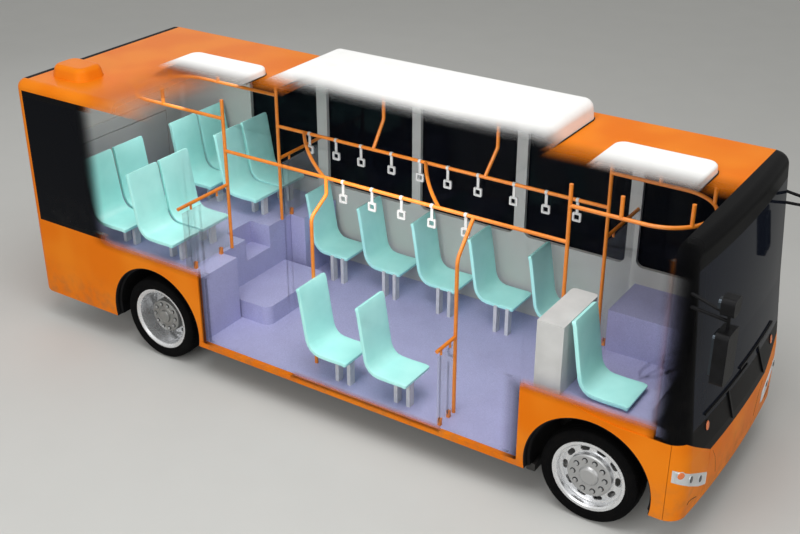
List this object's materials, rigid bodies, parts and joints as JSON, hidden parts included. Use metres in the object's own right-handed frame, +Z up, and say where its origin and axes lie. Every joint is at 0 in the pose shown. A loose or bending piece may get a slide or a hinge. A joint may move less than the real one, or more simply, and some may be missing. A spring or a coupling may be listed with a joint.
{
  "type": "electric low-floor minibus",
  "caption": "Orange electric low-floor minibus with black bonded glass, white roof covers, mint seats, orange grab rails, two folding double doors and turning, steering wheels.",
  "frame": {"origin": "on the ground at the middle of the overall box", "axes": "+X forward, +Y to the vehicle's left, +Z up"},
  "size_m": [7.24, 2.46, 2.8119],
  "materials": {
    "orange_paint": "gloss orange body paint",
    "black_glass": "tinted bonded glass",
    "white_grp": "white moulded roof covers",
    "grey_trim": "light grey inner panels",
    "floor_vinyl": "lavender grey vinyl floor covering",
    "seat_plastic": "mint moulded seat shells",
    "rail_orange": "orange powder coated tube",
    "leg_grey": "light grey painted steel",
    "clear_plastic": "clear screen",
    "chassis_black": "black chassis paint",
    "tyre_rubber": "black tyre rubber",
    "rim_silver": "polished alloy",
    "cast_grey": "cast steel",
    "black_plastic": "black moulded plastic",
    "headlamp_lens": "clear lamp unit",
    "tail_lens": "red lamp lens",
    "bellows_rubber": "black bellows rubber",
    "pack_grey": "grey painted case"
  },
  "bodies": {
    "body": {"side_left": "orange_paint", "side_right": "orange_paint", "rear_wall": "orange_paint", "roof": "orange_paint", "roof_hump": "orange_paint", "roof_pods": "white_grp", "front_panels": "orange_paint", "front_frame": "black_plastic", "windscreen": "black_glass", "side_glass": "black_glass", "glass_rear": "black_glass", "headlamps": "headlamp_lens", "tail_lamps": "tail_lens", "floor": "floor_vinyl", "cab_floor": "floor_vinyl", "rear_platform": "floor_vinyl", "step_box": "floor_vinyl", "underframe": "chassis_black", "front_axle": "cast_grey", "rear_axle": "cast_grey", "air_springs": "bellows_rubber", "passenger_seats": "seat_plastic", "driver_seat": "seat_plastic", "seat_legs": "leg_grey", "grab_poles": "rail_orange", "ceiling_rails": "rail_orange", "branch_rails": "rail_orange", "door_stanchions": "rail_orange", "rail_loops": "rail_orange", "clear_screens": "clear_plastic", "guard_rails": "rail_orange", "strap_hangers": "grey_trim", "cabinet": "grey_trim", "dashboard": "black_plastic", "steering_wheel": "black_plastic", "mirrors": "black_plastic", "wipers": "black_plastic", "battery_pack": "pack_grey", "drive_motor": "pack_grey"},
    "knuckle_left": {"knuckle_left": "cast_grey"},
    "knuckle_right": {"knuckle_right": "cast_grey"},
    "wheel_front_left": {"front_tyre_left": "tyre_rubber", "front_rim_left": "rim_silver"},
    "wheel_front_right": {"front_tyre_right": "tyre_rubber", "front_rim_right": "rim_silver"},
    "wheels_rear_left": {"rear_tyres_left": "tyre_rubber", "rear_rims_left": "rim_silver"},
    "wheels_rear_right": {"rear_tyres_right": "tyre_rubber", "rear_rims_right": "rim_silver"},
    "door_front_a": {"door_front_front_leaf": "black_glass"},
    "door_front_b": {"door_front_rear_leaf": "black_glass"},
    "door_rear_a": {"door_rear_front_leaf": "black_glass"},
    "door_rear_b": {"door_rear_rear_leaf": "black_glass"},
    "hatch": {"rear_hatch": "orange_paint"}
  },
  "joints": [
    {"name": "steer_left", "type": "hinge", "parent": "body", "child": "knuckle_left", "pos_m": [2.63, 0.866, 0.412], "axis": [0, 0, 1], "range_deg": [-35, 35]},
    {"name": "steer_right", "type": "hinge", "parent": "body", "child": "knuckle_right", "pos_m": [2.63, -0.866, 0.412], "axis": [0, 0, 1], "range_deg": [-35, 35]},
    {"name": "spin_front_left", "type": "hinge", "parent": "knuckle_left", "child": "wheel_front_left", "pos_m": [2.63, 0.9875, 0.428], "axis": [0, 1, 0], "continuous": true},
    {"name": "spin_front_right", "type": "hinge", "parent": "knuckle_right", "child": "wheel_front_right", "pos_m": [2.63, -0.9875, 0.428], "axis": [0, 1, 0], "continuous": true},
    {"name": "spin_rear_left", "type": "hinge", "parent": "body", "child": "wheels_rear_left", "pos_m": [-1.996, 0.8425, 0.428], "axis": [0, 1, 0], "continuous": true},
    {"name": "spin_rear_right", "type": "hinge", "parent": "body", "child": "wheels_rear_right", "pos_m": [-1.996, -0.8425, 0.428], "axis": [0, 1, 0], "continuous": true},
    {"name": "door_front_lead", "type": "hinge", "parent": "body", "child": "door_front_a", "pos_m": [1.985, -1.13, 0.382], "axis": [0, 0, -1], "range_deg": [0, 88]},
    {"name": "door_front_follow", "type": "hinge", "parent": "body", "child": "door_front_b", "pos_m": [1.274, -1.13, 0.382], "axis": [0, 0, -1], "range_deg": [-88, 0]},
    {"name": "door_rear_lead", "type": "hinge", "parent": "body", "child": "door_rear_a", "pos_m": [-0.343, -1.13, 0.382], "axis": [0, 0, -1], "range_deg": [0, 88]},
    {"name": "door_rear_follow", "type": "hinge", "parent": "body", "child": "door_rear_b", "pos_m": [-1.373, -1.13, 0.382], "axis": [0, 0, -1], "range_deg": [-88, 0]},
    {"name": "hatch_hinge", "type": "hinge", "parent": "body", "child": "hatch", "pos_m": [-3.612, 0, 1.704], "axis": [0, 1, 0], "range_deg": [0, 78]}
  ],
  "couplings": [
    {"joint": "steer_right", "follows": "steer_left", "ratio": 1},
    {"joint": "door_front_follow", "follows": "door_front_lead", "ratio": -1},
    {"joint": "door_rear_follow", "follows": "door_rear_lead", "ratio": -1}
  ]
}
